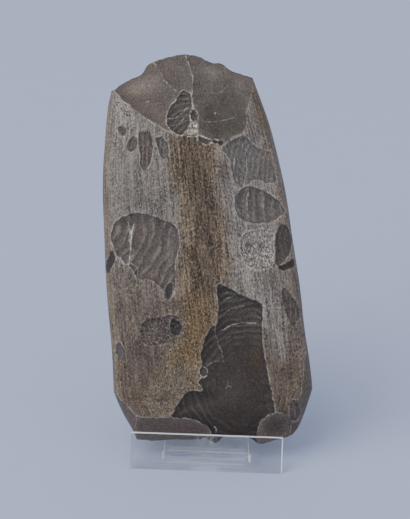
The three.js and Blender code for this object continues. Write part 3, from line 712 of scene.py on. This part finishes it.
class Face:
    """One face of the axe head: its lines, its relief and its colours on a grid."""

    def __init__(self, front, crown, narrow, broad, scars, marks, stains, seed):
        self.front = front
        self.crown = crown
        self.seed = seed
        self.ends = [self.end(narrow, seed), self.end(broad, seed + 20)]
        strokes = broken([line for line, _ in marks], seed + 95, MARK_BREAKS)
        self.marks = list(zip(strokes, [white for _, white in marks]))
        self.stains = stains
        self.scars = [self.scar(row, seed, i) for i, row in enumerate(scars)]
        parts = self.ends + self.scars
        self.lines = [line for part in parts for line in (part["border"], *part["ridges"])] + strokes

    @staticmethod
    def end(flaking, seed):
        border = roughened(curve_through(flaking["border"]), seed)
        return {
            **flaking,
            "border": border,
            "region": np.vstack([border, flaking["beyond"]]),
            "outline": curve_through(flaking["outline"]),
            "ridges": broken(flaking["ridges"], seed + 5, FACET_BREAKS),
        }

    @staticmethod
    def scar(row, seed, number):
        outline = row["outline"]
        line = oval_line(*outline) if isinstance(outline, tuple) else curve_through(outline, True)
        border = roughened(line, seed + 40 + 2 * number)
        border[-1] = border[0]
        ridges = broken(row["ridges"], seed + 90 + number, RIDGE_BREAKS)
        return {**row, "border": border, "ridges": ridges}

    def noise(self, kind, u, v):
        height, across, along, number = kind
        return height * wander(u / across, v / along, self.seed + number)

    def settle(self, s, uv, half_width, inner):
        """Moves grid points close to a sharp line onto it, so that its crease stays crisp."""
        best = np.full(len(uv), SETTLE_REACH)
        moved = uv.copy()
        for line in self.lines:
            beside = np.all((uv > line.min(0) - 1) & (uv < line.max(0) + 1), 1)
            near = np.flatnonzero(beside & inner)
            here, gap = nearest_on(line, uv[near])
            closer = gap < best[near]
            best[near[closer]] = gap[closer]
            moved[near[closer]] = here[closer]
        return s + (moved[:, 0] - uv[:, 0]) / (2 * half_width), moved

    def flaked(self, end, uv, half, run_over):
        """Thins the face from the border of a flaked end down to its edge, with no crease at the
        border where a scar has run over it."""
        from_border = nearest_on(end["border"], uv)[1]
        to_edge = nearest_on(end["outline"], uv)[1]
        beyond = inside(end["region"], uv)
        share = np.where(beyond, from_border / (from_border + to_edge + 1e-6), 0)
        scoop = 4 * share * (1 - share) * end["hollow"] * off_ridges(end["ridges"], uv)
        thinned = share + (share**SOFT_POWER - share) * run_over
        return half + (end["edge"] - half) * thinned - scoop * (1 - run_over), share

    def ripples(self, scar, u, v):
        """Height of a scar's ripples, and their phase, strength and whiteness."""
        origin_u, origin_v, wavelength, height, white, start = scar["ripple"]
        radius = np.hypot(u - origin_u, v - origin_v)
        phase = radius / wavelength + self.noise(RIPPLE_DRIFT, u, v)
        strength = np.clip(RIPPLE_STRENGTH + self.noise(RIPPLE_PATCHES, u, v), 0, 1)
        strength *= smooth(0, RIPPLE_RISE, scar["inside"])
        strength *= smooth(start - RIPPLE_FADE, start + RIPPLE_FADE, radius)
        raised = height * np.sin(2 * math.pi * phase) * strength
        return raised, np.stack([phase, strength, strength * white], 1)

    def scarring(self, u, v, uv):
        """Where the scars are, their depth, and the height and waves of their ripples."""
        scarred = np.zeros(len(uv), bool)
        deepest = np.zeros(len(uv))
        raised = np.zeros(len(uv))
        waves = np.zeros((len(uv), 3))
        for scar in self.scars:
            within = scar["inside"] > 0
            scarred |= within
            out = 1 - np.clip(scar["inside"] / scar["run"], 0, 1)
            ridged = 1.0
            if scar["ridges"]:
                ridged = RIDGE_SHARE + (1 - RIDGE_SHARE) * off_ridges(scar["ridges"], uv)
            depth = scar["depth"] * (1 - out**2) * ridged
            deepest = np.where(within, np.maximum(deepest, depth), deepest)
            raised[within] = 0
            waves[within] = 0
            if scar["ripple"]:
                height, wave = self.ripples(scar, u, v)
                raised[within] = height[within]
                waves[within] = wave[within]
        return scarred, deepest, raised, waves

    def relief(self, s, uv, half_width):
        """Half thickness of the face, the shares of its flaked ends and the waves in its scars."""
        u, v = uv.T
        half = body_half(self.crown, 2 * s - 1, half_width, u, v)
        run_over = np.zeros(len(uv))
        for scar in self.scars:
            scar["inside"] = depth_inside(scar["border"], uv)
            if scar["runs_over"]:
                run_over = smooth(0, RUN_OVER_REACH, scar["inside"])
        shares = []
        for end in self.ends:
            half, share = self.flaked(end, uv, half, run_over)
            shares.append(share)
        scarred, deepest, raised, waves = self.scarring(u, v, uv)
        for line, white in self.marks:
            raised += MARK_HEIGHT * white * (1 - smooth(0, MARK_REACH, nearest_on(line, uv)[1]))
        kept = (1 - shares[0]) * (1 - shares[1])
        ground = (shares[0] == 0) & (shares[1] == 0) & ~scarred
        across = s * FACE_WIDTH
        worn = self.noise(GROOVES, across, v) + self.noise(FLATS, across, v)
        side_fade = smooth(0, SIDE_FADE, np.minimum(s, 1 - s))
        half = half - deepest * kept + raised * kept
        half = half + side_fade * (self.noise(ROUGHNESS, u, v) + np.where(ground, worn, 0) * kept)
        return half, shares, waves

    def stained(self, tone, uv, zone):
        """Lays the soft stains, and the painted shade among them, over the colours, each only in the zone
        that its middle is in.
        """
        for u, v, across, along, turn, colour, share in self.stains:
            c = math.cos(math.radians(turn))
            s = math.sin(math.radians(turn))
            x = c * (uv[:, 0] - u) + s * (uv[:, 1] - v)
            y = c * (uv[:, 1] - v) - s * (uv[:, 0] - u)
            reach = np.hypot(x / across, y / along)
            own = zone[np.argmin(reach)]
            reach = reach + self.noise(STAIN_EDGES, *uv.T)
            tone = blend(tone, colour, share * (1 - smooth(0.1, 1.25, reach)) * (zone == own))
        return tone

    def ground_colours(self, s, uv):
        """Base colour, grain and streak of the polish and its band."""
        u, v = uv.T
        patch = self.noise(TONE_PATCHES, u, v)
        tone = np.tile(linear(POLISH_BROWN), (len(uv), 1))
        tone = blend(tone, POLISH_PALE, smooth(*PALE_RISE, v + PALE_WAVER * patch))
        for from_side, (colour, share, low, high) in ((s, LEFT_MARGIN), (1 - s, RIGHT_MARGIN)):
            tone = blend(tone, colour, share * (1 - smooth(low, high, from_side * FACE_WIDTH)))
        band = smooth(*BAND_EDGE, depth_inside(curve_through(BAND, True), uv) + BAND_WAVER * patch)
        if self.front:
            fade = PALE_LINE_SHARE - PALE_LINE_LOSS * smooth(*PALE_LINE_FADE, v)
            tone = blend(tone, STRIP_PALE, along_line(PALE_LINE, uv, PALE_LINE_REACH) * fade)
            tone = blend(tone, BAND_BROWN, band)
            for points, colour, share, reach in BAND_TONES:
                tone = blend(tone, colour, share * along_line(points, uv, reach) * band)
        else:
            tone = blend(tone, BAND_BROWN, BACK_BAND_SHARE * band)
        tone = tone * (1 + self.noise(RIPENESS, u, v))[:, None]
        streak = 1 + band * (2 * BAND_STREAK * smooth(*STREAK_RISE, v) - BAND_STREAK)
        return tone, POLISH_GRAIN + BAND_GRAIN * band, streak

    def colours(self, s, uv, shares):
        """Base colour, grain, streak, distance of the nearest white line and its whiteness."""
        tone, grain, streak = self.ground_colours(s, uv)
        zone = np.zeros(len(uv), int)
        line = np.full(len(uv), FAR)
        rim = np.zeros(len(uv))

        def lined(distance, white):
            closer = distance < line
            rim[closer] = np.broadcast_to(white, rim.shape)[closer]
            line[closer] = distance[closer]

        def lined_ridges(part):
            for ridge in part["ridges"]:
                lined(nearest_on(ridge, uv)[1], part["ridge_rim"])

        for number, (end, share) in enumerate(zip(self.ends, shares), 1):
            here = smooth(0, FACET_BLEND, share)
            zone[share > 0] = number
            tone = blend(tone, end["tone"], here)
            grain = grain + (FACET_GRAIN - grain) * here
            streak = streak * (1 - here)
            left, right = end["rim"]
            white = left + (right - left) * smooth(*end["rim_fades"], uv[:, 0])
            lined(nearest_on(end["border"], uv)[1], white)
            lined_ridges(end)
        for number, scar in enumerate(self.scars, 3):
            here = smooth(*SCAR_BLEND, scar["inside"])
            zone[scar["inside"] > 0] = number
            near = np.exp(-np.abs(scar["inside"]) / MARGIN_REACH) * min(1, scar["depth"])
            tone = blend(tone * (1 + MARGIN_PALE * near)[:, None], scar["tone"], here)
            # Painted shade: each scar is darkened just inside its border, where its wall would be in
            # shade.
            tone = tone * (1 - MARGIN_PAINTED_SHADE * near * here)[:, None]
            grain = grain + (scar["grain"] - grain) * here
            streak = streak + (SCAR_STREAK - streak) * here
            line[scar["inside"] > 0] = FAR
            lined(np.abs(scar["inside"]), scar["rim"])
            lined_ridges(scar)
        for mark, white in self.marks:
            lined(nearest_on(mark, uv)[1], white)
        return self.stained(tone, uv, zone) * WARMTH, grain, streak, line, rim

    def shaped(self, s, uv, half_width, inner):
        """Places, half thickness and looks of the face's grid points."""
        s, uv = self.settle(s, uv, half_width, inner)
        half, shares, waves = self.relief(s, uv, half_width)
        return uv, half, (*self.colours(s, uv, shares), waves)


def face_places(s, t):
    """Carries grid shares onto the face, between its four outline curves; also gives its half width."""
    left = at_share(curve_through(LEFT_SIDE, steps=SIDE_STEPS), t)
    right = at_share(curve_through(RIGHT_SIDE, steps=SIDE_STEPS), t)
    low = at_share(roughened(curve_through(BROAD_END), FRONT_SEED + 60, EDGE_CHIPS), s)
    high = at_share(roughened(curve_through(NARROW_END), FRONT_SEED + 62, EDGE_CHIPS), s)
    s = s[:, None]
    t = t[:, None]
    low_corner = np.array(LEFT_SIDE[0]) * (1 - s) + np.array(RIGHT_SIDE[0]) * s
    high_corner = np.array(LEFT_SIDE[-1]) * (1 - s) + np.array(RIGHT_SIDE[-1]) * s
    uv = (
        left * (1 - s) + right * s + low * (1 - t) + high * t
        - low_corner * (1 - t) - high_corner * t
    )
    return uv, np.linalg.norm(right - left, axis=1) / 2


# Colours of the axe head


def linear(colour):
    c = np.array(colour, float) / 255
    return np.where(c <= 0.04045, c / 12.92, ((c + 0.055) / 1.055) ** 2.4)


def blend(tone, colour, share):
    return tone + (linear(colour) - tone) * share[:, None]


def along_line(points, uv, reach):
    """1 on a line and 0 beyond its reach."""
    return 1 - smooth(0.25 * reach, reach, nearest_on(curve_through(points), uv)[1])


# Meshes


def add_object(name, data):
    piece = bpy.data.objects.new(name, data)
    bpy.context.scene.collection.objects.link(piece)
    return piece


def add_attributes(mesh, values):
    """Gives a mesh's points numbers, vectors or colours, by the width of the arrays."""
    kinds = {1: ("FLOAT", "value"), 3: ("FLOAT_VECTOR", "vector"), 4: ("FLOAT_COLOR", "color")}
    for name, array in values.items():
        kind, field = kinds[array.size // len(array)]
        layer = mesh.attributes.new(name, kind, "POINT")
        layer.data.foreach_set(field, array.astype(np.float32).ravel())


def box_grid():
    """A closed box with its front and back on one grid: the grid's shares s and t, the grid place and
    depth share of every point, and the quads."""
    t, s = np.indices((ROWS + 1, COLUMNS + 1)).reshape(2, -1) / [[ROWS], [COLUMNS]]
    count = len(s)
    number = np.arange(count).reshape(ROWS + 1, COLUMNS + 1)
    front = np.stack([number[:-1, :-1], number[:-1, 1:], number[1:, 1:], number[1:, :-1]], -1)
    front = front.reshape(-1, 4)
    rim = np.r_[number[0, :-1], number[:-1, -1], number[-1, :0:-1], number[:0:-1, 0]]
    steps = np.arange(1, WALL_STEPS)[:, None]
    rings = [rim, *(2 * count + (steps - 1) * len(rim) + np.arange(len(rim))), rim + count]
    wall = [
        np.stack([upper, lower, np.roll(lower, -1), np.roll(upper, -1)], 1)
        for upper, lower in zip(rings[:-1], rings[1:])
    ]
    place = np.r_[np.tile(np.arange(count), 2), np.tile(rim, WALL_STEPS - 1)]
    depth = np.r_[np.ones(count), np.zeros(count), np.repeat(1 - steps / WALL_STEPS, len(rim))]
    return s, t, place, depth, np.vstack([front, front[:, ::-1] + count, *wall])


def make_axe():
    s, t, place, depth, quads = box_grid()
    uv, half_width = face_places(s, t)
    inner = (s > 0) & (s < 1) & (t > 0) & (t < 1)
    faces = (front_face, back_face)
    front, back = (face.shaped(s, uv, half_width, inner) for face in faces)
    on_front = np.arange(len(place)) < len(s)
    u, v = np.where(on_front[:, None], front[0][place], back[0][place]).T
    w = front[1][place] * depth - back[1][place] * (1 - depth)
    s = s[place]
    outward = SIDE_BULGE * (1 - (2 * depth - 1) ** 2)
    u = u + outward * np.where(s == 0, -1, np.where(s == 1, 1, 0))
    x = STAND_AT.x / MM + u
    y = STAND_AT.y / MM + AXE_SEAT[0] + v * math.sin(LEAN) - w * math.cos(LEAN)
    z = AXE_SEAT[1] + v * math.cos(LEAN) + w * math.sin(LEAN)
    points = np.clip(np.stack([x, y, z], 1) * MM, *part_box("flint_axe_head"))
    mesh = bpy.data.meshes.new("flint_axe")
    mesh.from_pydata(points.tolist(), [], quads.tolist())
    mesh.shade_smooth()
    looks = []
    for a, b in zip(front[2], back[2]):
        part = depth.reshape(-1, *(1,) * (a.ndim - 1))
        looks.append(a[place] * part + b[place] * (1 - part))
    tone, grain, streak, line, rim, waves = looks
    wall = (depth > 0) & (depth < 1)
    line[wall] = FAR
    waves[wall] = 0
    add_attributes(mesh, {
        "tone": np.c_[tone, np.ones(len(tone))],
        "grain": grain,
        "streak": streak,
        "line": line,
        "rim": rim,
        "wave": waves,
        "place": np.stack([s * FACE_WIDTH, t[place] * FACE_LENGTH, w], 1),
    })
    return add_object("flint_axe", mesh)


# Shader helpers


class Shader:
    """Builds a material's nodes; values are sockets or numbers."""

    def __init__(self, name):
        self.material = bpy.data.materials.new(name)
        self.material.use_nodes = True
        self.tree = self.material.node_tree
        self.tree.nodes.clear()
        self.surface = self.node("BsdfPrincipled", {})
        self.node("OutputMaterial", {"Surface": self.surface.outputs[0]})

    def node(self, kind, inputs, **settings):
        """A new node with its settings, and with its inputs by name or number."""
        made = self.tree.nodes.new("ShaderNode" + kind)
        for name, value in settings.items():
            setattr(made, name, value)
        for key, value in inputs.items():
            self.give(made.inputs[key], value)
        return made

    def give(self, socket, value):
        if isinstance(value, bpy.types.NodeSocket):
            self.tree.links.new(value, socket)
        else:
            socket.default_value = value

    def set(self, **values):
        for name, value in values.items():
            self.give(self.surface.inputs[name.replace("_", " ")], value)

    def place(self):
        return self.node("TexCoord", {}).outputs["Object"]

    def parts(self, vector):
        return self.node("SeparateXYZ", {0: vector}).outputs

    def attribute(self, name, output="Fac"):
        return self.node("Attribute", {}, attribute_name=name).outputs[output]

    def noise(self, place, name):
        """One of the named noises, on a stretched and shifted place."""
        stretch, shift, scale, detail, roughness, _ = NOISES[name]
        moved = self.node("Mapping", {"Vector": place, "Scale": stretch, "Location": shift}).outputs[0]
        inputs = {"Vector": moved, "Scale": scale, "Detail": detail, "Roughness": roughness}
        return self.node("TexNoise", inputs).outputs["Fac"]

    def spread(self, place, name, to_low=0.0, to_high=1.0):
        """One of the named noises, its own range spread between two values."""
        return self.ranged(self.noise(place, name), *NOISES[name][-1], to_low, to_high)

    def math(self, operation, a, b=0.0):
        return self.node("Math", {0: a, 1: b}, operation=operation).outputs[0]

    def times(self, a, b):
        return self.math("MULTIPLY", a, b)

    def off(self, value, middle):
        """How far a value is from a middle one."""
        return self.math("ABSOLUTE", self.math("SUBTRACT", value, middle))

    def total(self, *parts):
        """The sum of sockets, each times its factor."""
        result = 0.0
        for socket, factor in parts:
            made = self.node("Math", {0: socket, 1: factor, 2: result}, operation="MULTIPLY_ADD")
            result = made.outputs[0]
        return result

    def ranged(self, value, low, high, to_low=0.0, to_high=1.0):
        inputs = {"Value": value, "From Min": low, "From Max": high, "To Min": to_low, "To Max": to_high}
        return self.node("MapRange", inputs, interpolation_type="SMOOTHSTEP").outputs[0]

    def mix(self, share, a, b, blend_type="MIX"):
        made = self.node("Mix", {0: share, 6: a, 7: b}, data_type="RGBA", blend_type=blend_type)
        return made.outputs[2]

    def grey(self, value):
        return self.node("CombineColor", {0: value, 1: value, 2: value}).outputs[0]

    def bump(self, height, distance, strength):
        inputs = {"Height": height, "Distance": distance, "Strength": strength}
        self.set(Normal=self.node("Bump", inputs).outputs["Normal"])


def rgba(colour):
    return (*linear(colour), 1.0)


# Materials


def flint_material():
    m = Shader("flint")
    place = m.attribute("place", "Vector")
    grain = m.attribute("grain")
    streak = m.attribute("streak")
    phase, strength, paleness = m.parts(m.attribute("wave", "Vector"))
    speck = m.spread(place, "speck", -1, 1)
    lanes = m.spread(place, "lanes", -1, 1)
    bright = m.spread(place, "bright")
    pits = m.spread(place, "pits")
    mottle = m.total((speck, SPECK_SHARE), (bright, BRIGHT_SHARE), (pits, PIT_SHARE))
    light = m.total(
        (m.times(mottle, grain), 1.0),
        (m.times(lanes, streak), LANE_SHARE),
        (m.spread(place, "cloud", -1, 1), CLOUD_SHARE),
    )
    light = m.math("MAXIMUM", m.math("ADD", light, 1.0), LEAST_LIGHT)
    colour = m.mix(1.0, m.attribute("tone", "Color"), m.grey(light), "MULTIPLY")
    swell = m.math("SINE", m.times(phase, 2 * math.pi))
    crest = m.times(m.ranged(swell, *CREST_RANGE), paleness)
    crest = m.times(crest, m.spread(place, "crests", *CREST_SHARES))
    colour = m.mix(m.times(crest, CREST_PALE), colour, rgba(PATINA))
    width = m.spread(place, "widths", *LINE_WIDTHS)
    line = m.ranged(m.attribute("line"), m.times(width, LINE_CORE), width, 1, 0)
    white = m.times(m.times(line, m.spread(place, "breaks", *LINE_SHARES)), m.attribute("rim"))
    m.set(Base_Color=m.mix(white, colour, rgba(EDGE_WHITE)), IOR=1.54, Specular_IOR_Level=0.28)
    rough = m.math("ADD", grain, m.times(speck, 0.3))
    m.set(Roughness=m.ranged(rough, 0, 1.6, *FLINT_ROUGHNESS))
    height = m.math("ADD", m.times(speck, grain), m.times(lanes, streak))
    height = m.math("ADD", height, m.times(swell, m.times(strength, RIPPLE_LIFT)))
    m.bump(height, 0.06 * MM, 0.9)
    return m.material


def lip_light(m, place, from_middle, height):
    """Whiteness of the lip plate: drawn lines low down, painted light along the ledge's joint and the
    rubbed middle.
    """
    low = m.ranged(height, SCRATCH_TOP * MM, 1.4 * SCRATCH_TOP * MM, 1, 0)
    inward = m.ranged(from_middle, 0.8 * JOINT_HALF * MM, 1.6 * JOINT_HALF * MM, 1, 0.3)
    white = m.times(m.times(m.spread(place, "drawn_lines", 0, 0.6), low), inward)
    beside = m.ranged(from_middle, (JOINT_HALF - JOINT_SOFT) * MM, JOINT_HALF * MM, 1, 0)
    # Painted light: pale lines where the ledge meets the lip plate.
    for level in JOINT_LINES:
        near = m.ranged(m.off(height, level * MM), JOINT_LINE_HALF * MM, JOINT_SOFT * MM, 1, 0)
        white = m.math("MAXIMUM", white, m.times(near, beside))
    rubbed = m.ranged(from_middle, 0, SCUFF_HALF * MM, 1, 0)
    return m.math("MAXIMUM", white, m.times(m.spread(place, "scratches"), rubbed))


def acrylic_material(name, colour, clearness, alpha, roughness, joint_light):
    """Acrylic that lets a share of the light through and scatters the rest at its scuffed faces; the lip
    plate's dark base colour is painted shade.
    """
    m = Shader(name)
    place = m.place()
    m.set(IOR=1.49, Alpha=alpha, Transmission_Weight=clearness)
    m.set(Roughness=m.spread(place, "scuffs", roughness, roughness + 0.1))
    m.bump(m.noise(place, "scuffs"), 0.01 * MM, 0.3)
    across, _, height = m.parts(place)
    from_middle = m.off(across, STAND_AT.x)
    if joint_light:
        white = lip_light(m, place, from_middle, height)
    else:
        # Painted highlight: the clear strip whitens towards its sides.
        side = STRIP_WIDTH / 2 * MM
        white = m.ranged(from_middle, side - PAINTED_EDGE_GLOW * MM, side - 0.8 * PAINTED_EDGE_GLOW * MM, 0, 0.9)
    m.set(Base_Color=m.mix(white, colour, (1, 1, 1, 1)))
    return m.material


def floor_material():
    m = Shader("pale_paper")
    fibre = m.grey(m.spread(m.place(), "fibre", 0.985, 1.0))
    m.set(Base_Color=m.mix(1.0, rgba(PAPER), fibre, "MULTIPLY"), Roughness=0.85, Specular_IOR_Level=0.2)
    return m.material


# Clear stand


def bent_line(corners):
    """Middle line of a bent sheet with its corners rounded: points and their normals."""
    line = []

    def add(point, along):
        line.append((point, Vector((-along.y, along.x))))

    add(corners[0], (corners[1] - corners[0]).normalized())
    for before, corner, after in zip(corners, corners[1:], corners[2:]):
        into = (corner - before).normalized()
        away = (after - corner).normalized()
        turn = math.atan2(into.x * away.y - into.y * away.x, into.dot(away))
        start = corner - into * BEND_RADIUS * math.tan(abs(turn) / 2)
        centre = start + Vector((-into.y, into.x)) * math.copysign(BEND_RADIUS, turn)
        for step in range(BEND_STEPS + 1):
            turned = Matrix.Rotation(turn * step / BEND_STEPS, 2)
            add(centre + turned @ (start - centre), turned @ into)
    add(corners[-1], (corners[-1] - corners[-2]).normalized())
    return line


def strip_outline():
    """Side outline of the ledge, back rest and rear leg, as (y, z) points."""
    ledge_middle = LEDGE_TOP - SHEET / 2
    sheet_run = SHEET / 2 / math.cos(LEAN)
    drop = math.tan(LEAN) * (LEDGE_TOP - ledge_middle)
    start = Vector((math.tan(LEAN) * ledge_middle + sheet_run, ledge_middle))
    heel = Vector((BACK_REST_AT + sheet_run - drop, ledge_middle))
    peak = heel + UP * BACK_REST_REACH
    foot = Vector((LEG_FOOT_AT, 0))
    leg = foot - peak
    line = bent_line([start, heel, peak, foot])
    edges = []
    for side in (-1, 1):
        edge = [point + normal * side * SHEET / 2 for point, normal in line]
        edge[-1] = edge[-1] - leg * (edge[-1].y / leg.y)
        edges.append(edge)
    return edges[0] + edges[1][::-1]


def lip_outline():
    top = UP * LIP_LENGTH
    return [Vector((0, 0)), Vector((SHEET / math.cos(LEAN), 0)), top + THROUGH * SHEET, top]


def prism(name, outline, width):
    """A (y, z) outline made into a closed block of a width centred on the stand's middle."""
    bm = bmesh.new()
    rings = []
    for side in (-1, 1):
        x = STAND_AT.x + side * width / 2 * MM
        rings.append([bm.verts.new((x, STAND_AT.y + p.x * MM, p.y * MM)) for p in outline])
    left, right = rings
    bm.faces.new(left[::-1])
    bm.faces.new(right)
    for i in range(len(outline)):
        bm.faces.new([left[i - 1], left[i], right[i], right[i - 1]])
    bmesh.ops.recalc_face_normals(bm, faces=bm.faces)
    mesh = bpy.data.meshes.new(name)
    bm.to_mesh(mesh)
    bm.free()
    return add_object(name, mesh)


def modified(piece, kind, **settings):
    """Applies one modifier to a piece."""
    modifier = piece.modifiers.new(kind.lower(), kind)
    for name, value in settings.items():
        setattr(modifier, name, value)
    graph = bpy.context.evaluated_depsgraph_get()
    old = piece.data
    mesh = bpy.data.meshes.new_from_object(piece.evaluated_get(graph))
    piece.modifiers.clear()
    piece.data = mesh
    mesh.name = piece.name
    bpy.data.meshes.remove(old)


def mark_faces(stand):
    """Parts the stand's faces: scuffed lip plate, greyed as painted shade, with its dim left edge, edges
    whitened as a painted highlight, clear strip.
    """
    for face in stand.data.polygons:
        place = (face.center - STAND_AT) / MM
        on_lip = place.yz.dot(THROUGH) < SHEET + EDGE_BEVEL
        from_edges = [place.x - LIP_WIDTH / 2, abs(place.x) - STRIP_WIDTH / 2]
        if on_lip:
            from_edges.append(place.yz.dot(UP) - LIP_LENGTH)
        at_edge = min(map(abs, from_edges)) < EDGE_BEVEL
        # Faces at the edges get the painted highlight acrylic.
        face.material_index = HIGHLIGHT_EDGE if at_edge else SCUFFED_SHADED if on_lip else CLEAR


def make_stand():
    stand = prism("clear_stand", strip_outline(), STRIP_WIDTH)
    lip = prism("lip_plate", lip_outline(), LIP_WIDTH)
    modified(stand, "BOOLEAN", operation="UNION", solver="EXACT", object=lip)
    bpy.data.objects.remove(lip)
    corner = math.radians(35)
    modified(stand, "BEVEL", width=EDGE_BEVEL * MM, segments=2, limit_method="ANGLE", angle_limit=corner)
    for vertex in stand.data.vertices:
        vertex.co.z = max(vertex.co.z, FOOT_LIFT * MM)
    stand.data.shade_smooth()
    modified(stand, "WEIGHTED_NORMAL", weight=100)
    mark_faces(stand)
    return stand


# Stage


def make_floor():
    mesh = bpy.data.meshes.new("floor")
    corners = [(x * FLOOR_REACH, y * FLOOR_REACH, 0) for x, y in ((-1, -1), (1, -1), (1, 1), (-1, 1))]
    mesh.from_pydata(corners, [], [(0, 1, 2, 3)])
    mesh.materials.append(floor_material())
    add_object("floor", mesh)


def make_lamp(name, kind, power, place, aim, settings):
    """A lamp at a place that shines towards its aim."""
    lamp = bpy.data.lights.new(name, kind)
    lamp.energy = power
    for setting, value in settings.items():
        setattr(lamp, setting, value)
    holder = add_object(name, lamp)
    holder.location = place
    holder.rotation_euler = (Vector(place) - Vector(aim)).to_track_quat("Z", "Y").to_euler()


def make_world():
    world = bpy.data.worlds.new("studio")
    world.use_nodes = True
    sky = world.node_tree.nodes["Background"]
    sky.inputs["Color"].default_value = SKY_COLOUR
    sky.inputs["Strength"].default_value = SKY_STRENGTH
    bpy.context.scene.world = world


def make_camera():
    back = Vector((0, -math.cos(CAMERA_ELEVATION), math.sin(CAMERA_ELEVATION)))
    up = Vector((0, math.sin(CAMERA_ELEVATION), math.cos(CAMERA_ELEVATION)))
    seat = STAND_AT + Vector((0, *AXE_SEAT)) * MM
    aim = seat + Vector((CAMERA_AIM[0], 0, 0)) * MM + up * CAMERA_AIM[1] * MM
    lens = bpy.data.cameras.new("camera")
    lens.sensor_width = SENSOR
    lens.lens = FOCAL_PIXELS / LONG_SIDE_PIXELS * SENSOR
    holder = add_object("camera", lens)
    holder.location = aim + back * CAMERA_DISTANCE * MM
    facing = (-back).to_track_quat("-Z", "Y").to_matrix()
    roll = Matrix.Rotation(CAMERA_ROLL, 3, "Z")
    holder.rotation_euler = (facing @ roll).to_euler()
    bpy.context.scene.camera = holder


front_face = Face(
    True, CROWN_FRONT, NARROW_FLAKING, BROAD_FLAKING, FRONT_SCARS, FRONT_MARKS, FRONT_STAINS_AND_SHADE, FRONT_SEED,
)
back_face = Face(
    False, CROWN_BACK, BACK_NARROW_FLAKING, BACK_BROAD_FLAKING, BACK_SCARS, [], BACK_STAINS, BACK_SEED,
)

axe = make_axe()
axe.data.materials.append(flint_material())
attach(axe, "root")
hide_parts("flint_axe_head")

stand = make_stand()
for acrylic in ACRYLICS:
    stand.data.materials.append(acrylic_material(*acrylic))
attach(stand, "root")
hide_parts("acrylic_stand")

make_floor()
make_world()
for lamp in LAMPS:
    make_lamp(*lamp)
make_camera()
